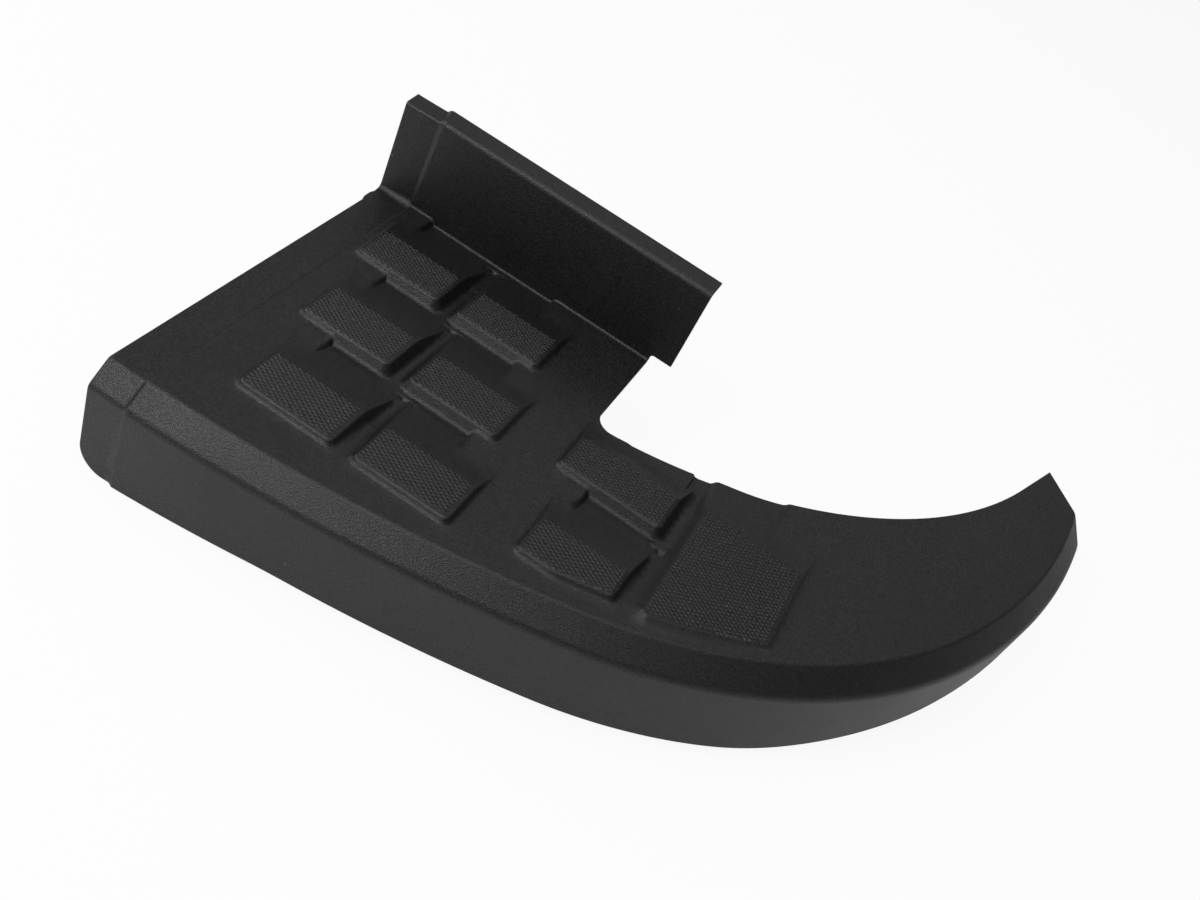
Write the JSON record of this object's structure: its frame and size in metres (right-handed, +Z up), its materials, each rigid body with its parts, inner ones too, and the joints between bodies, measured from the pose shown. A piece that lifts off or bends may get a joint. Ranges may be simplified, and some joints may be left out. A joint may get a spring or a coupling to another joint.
{
  "type": "side step cover",
  "caption": "Formed plastic cover for a vehicle's entry step: grip-pad tread, upstand with return lip, bevelled skirt and a horn along the wheel arch.",
  "frame": {"origin": "flat underside of the tread, in the plain strip between the two groups of pads", "axes": "+X along the upstand towards the horn, +Y towards the vehicle, +Z up"},
  "size_m": [0.6592, 0.5191, 0.1712],
  "materials": {
    "sheet": "fine-grained satin black"
  },
  "bodies": {
    "root": {"step_cover": "sheet"}
  },
  "joints": []
}
